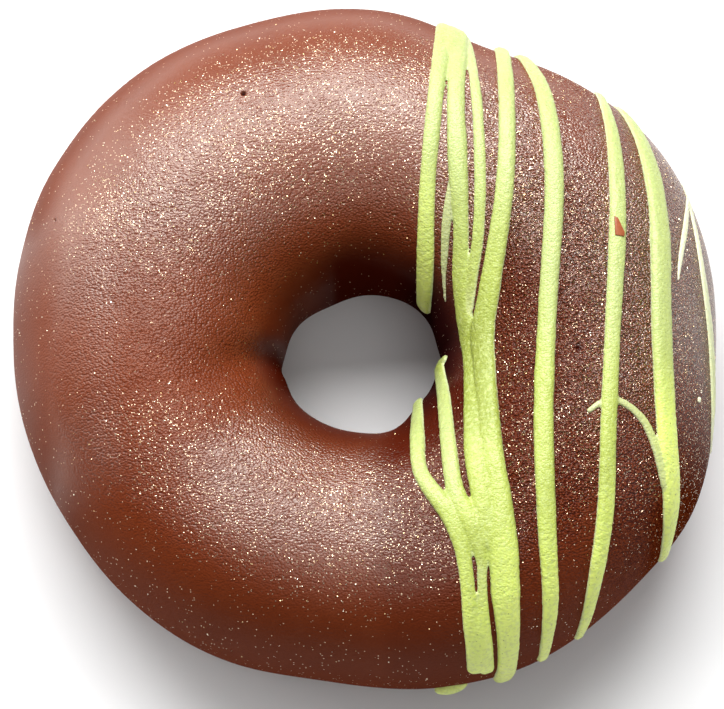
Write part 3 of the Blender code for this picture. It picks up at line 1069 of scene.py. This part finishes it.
def icing_tones(points):
    """How much light is painted into the icing (most at the front and over the hole, least on the
    trunk, where shade is painted) and how pale it is (most at the back).
    """
    spread = Spread(points)
    y = spread.measures["y"]
    over_hole = spread.both("over_hole")
    front = smooth_step(spread.along("icing_light_from") - y, 0, ICING_TONE_FADE)
    back = smooth_step(y - spread.along("icing_pale_from"), 0, ICING_TONE_FADE)
    back = back * (0.9 - spread.inside("behind_pale_back"))
    return {
        # painted light on the icing, with painted shade on the trunk
        "lightness": highest(0.22 * (1 - spread.inside("painted_shade_trunk")), over_hole, front),
        "paleness": highest(back, spread.inside("near_hole")) * (1 - 0.5 * over_hole),
    }


def make_icing(coat, icing, colours, ring):
    tree = tree_of(coat)
    green = icing_material("pistachio icing", colours, colours.icing_thin)
    pale = icing_material("thin pale icing", colours, colours.icing_pale)
    for name, lines in ICING_PIECES.items():
        beads, piped = [], {}
        for line in lines:
            points, (back_run, front_run) = ICING_LINES[line]
            laid = lay_on_coat(smooth_route(points), tree, 2 * ring.height)
            laid = run_over_edge(laid, front_run, tree)
            laid = run_over_edge(laid[::-1], back_run, tree)
            piped[line] = stations_along(laid)
            beads.append(pipe_bead(line, piped[line], tree, icing))
        piece = melt_together(beads, name, icing)
        mark_icing(piece, piped, tree)
        finish_piece(piece, pale if name in PALE_PIECES else green)
    for name, (spot, half, thinness) in DROPS.items():
        deselect_all()
        bpy.ops.mesh.primitive_uv_sphere_add(segments=48, ring_count=24, radius=1)
        drop = named(name)
        drop.location = ring_point(*spot, ring)
        drop.rotation_euler = Euler((0, 0, math.radians(spot[0] - 90)))
        drop.scale = half
        # drops get the full painted light
        tones = {"thinness": thinness, "rim": 0.0, "lightness": 1.0, "paleness": 0.0}
        for tone, value in tones.items():
            add_attribute(drop.data, tone, np.full(len(drop.data.vertices), value))
        finish_piece(drop, pale if name in PALE_PIECES else green)


def make_flake(icing_line, colours, ring):
    """A cylinder of five corners, drawn out to a wedge and pressed into the icing."""
    place, normal = drop_down(tree_of(icing_line), *FLAKE_MIDDLE, 2 * ring.height)
    deselect_all()
    bpy.ops.mesh.primitive_cylinder_add(vertices=len(FLAKE_CORNERS), radius=MM,
                                        depth=FLAKE_THICKNESS)
    flake = named("chocolate_flake")
    turned = Vector((0, 0, 1)).rotation_difference(normal)
    lower = [v for v in flake.data.vertices if v.co.z < 0]
    upper = [v for v in flake.data.vertices if v.co.z > 0]
    corners = sorted(FLAKE_CORNERS, key=lambda c: math.atan2(c[1], c[0]))
    for rim in (lower, upper):
        rim.sort(key=lambda v: math.atan2(v.co.y, v.co.x))
        for corner, (x, y) in zip(rim, corners):
            flat = Vector((x * MM, y * MM, corner.co.z + FLAKE_THICKNESS / 2 - FLAKE_SUNK))
            corner.co = place + turned @ flat
    apply_modifier(flake, "round edges", "BEVEL", width=FLAKE_BEVEL, segments=2)
    board = Board("caramel chocolate")
    tint = board.noise(board.place(), 0.5)
    board.set(Base_Color=board.layers(colours.caramel, (tint, colours.caramel_light)), Roughness=0.4)
    finish_piece(flake, board.material)


def make_glitter(glitter, colours, ring):
    """Flakes of gold glitter, each a small closed plate, scattered over the coat as one piece."""
    deselect_all()
    bpy.ops.mesh.primitive_cone_add(vertices=4, radius1=1, radius2=PLATE_TAPER,
                                    depth=PLATE_THICKNESS)
    flake = named("gold_glitter")
    shape = read_points(flake.data)
    faces = [tuple(p.vertices) for p in flake.data.polygons]
    draw = np.random.default_rng(GLITTER_SEED)
    count = glitter.count
    angle, over = draw.uniform(0, 360, count), draw.uniform(*GLITTER_OVER, count)
    masks = coat_masks(ring_points(angle, over, ring))
    keep = draw.uniform(0, 1, count) < (STRAY_SHARE + masks["dust"]) * (1 - masks["in_hole"])
    angle, over = angle[keep], over[keep]
    spots = ring_points(angle, over, ring)
    near = NEARBY_ANGLE
    ahead = ring_points(angle + near, over, ring) - ring_points(angle - near, over, ring)
    climb = ring_points(angle, over + near, ring) - ring_points(angle, over - near, ring)
    normals = np.cross(ahead, climb)
    normals /= np.linalg.norm(normals, axis=1)[:, None]
    points, corners = [], []
    for spot, normal in zip(spots, normals):
        size = draw.uniform(glitter.smallest, glitter.largest)
        lean = Euler((draw.normal(0, glitter.tilt), draw.normal(0, glitter.tilt),
                      draw.uniform(0, WHOLE_TURN)))
        turn = Vector(normal).to_track_quat("Z", "Y").to_matrix() @ lean.to_matrix()
        first = len(points)
        points.extend(Vector(spot) + turn @ Vector(p) * size for p in shape)
        corners.extend(tuple(first + i for i in face) for face in faces)
    mesh = bpy.data.meshes.new("gold_glitter")
    mesh.from_pydata([tuple(p) for p in points], [], corners)
    flake.data = mesh
    finish_piece(flake, gold_material(colours))
    flake.data.shade_flat()


def aim(thing, target):
    thing.rotation_euler = (target - thing.location).to_track_quat("-Z", "Y").to_euler()


def add_area_light(name, location, size, power, target):
    deselect_all()
    bpy.ops.object.light_add(type="AREA", location=location)
    light = named(name)
    light.data.shape = "RECTANGLE"
    light.data.size, light.data.size_y = size
    light.data.energy = power
    aim(light, target)


def make_stage(stage, colours):
    deselect_all()
    bpy.ops.mesh.primitive_plane_add(size=FLOOR_SIZE)
    floor = named("floor")
    board = Board("pale floor")
    board.set(Base_Color=solid(colours.floor), Roughness=0.7)
    floor.data.materials.append(board.material)
    target = Vector(AIMED_AT)
    for name, (place, size, power) in LIGHTS.items():
        add_area_light(name, place, size, getattr(stage, power), target)
    world = bpy.data.worlds.new("sky")
    world.use_nodes = True
    background = world.node_tree.nodes["Background"]
    background.inputs["Color"].default_value = (1, 1, 1, 1)
    background.inputs["Strength"].default_value = stage.sky
    bpy.context.scene.world = world
    deselect_all()
    back = Vector((0, -math.cos(stage.elevation), math.sin(stage.elevation)))
    bpy.ops.object.camera_add(location=target + back * stage.distance)
    camera = named("camera")
    aim(camera, target)
    camera.data.lens = stage.lens
    camera.data.sensor_width = SENSOR_WIDTH
    camera.data.clip_start = NEAREST_SEEN
    bpy.context.scene.camera = camera
    bpy.context.scene.view_settings.view_transform = "Standard"


class DOUGHNUT_OT_coat(bpy.types.Operator):
    """Shape the coated ring"""
    bl_idname = "doughnut.coat"
    bl_label = "Coat"

    def execute(self, context):
        chosen = context.scene.doughnut_settings
        make_coat(chosen.ring, chosen.colours)
        return {"FINISHED"}


class DOUGHNUT_OT_icing(bpy.types.Operator):
    """Drizzle the lines and drops of icing"""
    bl_idname = "doughnut.icing"
    bl_label = "Icing"

    def execute(self, context):
        chosen = context.scene.doughnut_settings
        make_icing(bpy.data.objects["chocolate_coat"], chosen.icing, chosen.colours, chosen.ring)
        return {"FINISHED"}


class DOUGHNUT_OT_flake(bpy.types.Operator):
    """Press the flake of chocolate into its line of icing"""
    bl_idname = "doughnut.flake"
    bl_label = "Flake"

    def execute(self, context):
        chosen = context.scene.doughnut_settings
        make_flake(bpy.data.objects["icing_outer"], chosen.colours, chosen.ring)
        return {"FINISHED"}


class DOUGHNUT_OT_glitter(bpy.types.Operator):
    """Dust the coat with gold glitter"""
    bl_idname = "doughnut.glitter"
    bl_label = "Glitter"

    def execute(self, context):
        chosen = context.scene.doughnut_settings
        make_glitter(chosen.glitter, chosen.colours, chosen.ring)
        return {"FINISHED"}


class DOUGHNUT_OT_stage(bpy.types.Operator):
    """Lay the floor, hang the lights and set the camera"""
    bl_idname = "doughnut.stage"
    bl_label = "Stage"

    def execute(self, context):
        chosen = context.scene.doughnut_settings
        make_stage(chosen.stage, chosen.colours)
        return {"FINISHED"}


class DOUGHNUT_PT_panel(bpy.types.Panel):
    bl_idname = "DOUGHNUT_PT_panel"
    bl_label = "Doughnut"
    bl_space_type = "VIEW_3D"
    bl_region_type = "UI"
    bl_category = "Doughnut"

    def draw(self, context):
        chosen = context.scene.doughnut_settings
        self.layout.operator("doughnut.flake")
        buttons = {"ring": "coat", "icing": "icing", "glitter": "glitter", "stage": "stage"}
        for group, operator in buttons.items():
            box = self.layout.box()
            values = getattr(chosen, group)
            for name in values.__annotations__:
                box.prop(values, name)
            box.operator("doughnut." + operator)
        for name in chosen.colours.__annotations__:
            self.layout.prop(chosen.colours, name)


CLASSES = (
    DoughnutRing, DoughnutIcing, DoughnutGlitter, DoughnutColours, DoughnutStage, DoughnutSettings,
    DOUGHNUT_OT_coat, DOUGHNUT_OT_icing, DOUGHNUT_OT_flake, DOUGHNUT_OT_glitter, DOUGHNUT_OT_stage,
    DOUGHNUT_PT_panel,
)


def register():
    for item in CLASSES:
        bpy.utils.register_class(item)
    bpy.types.Scene.doughnut_settings = PointerProperty(type=DoughnutSettings)


def unregister():
    del bpy.types.Scene.doughnut_settings
    for item in reversed(CLASSES):
        bpy.utils.unregister_class(item)


def main():
    register()
    bpy.ops.doughnut.coat()
    bpy.ops.doughnut.icing()
    bpy.ops.doughnut.flake()
    bpy.ops.doughnut.glitter()
    bpy.ops.doughnut.stage()


if __name__ == "__main__":
    main()
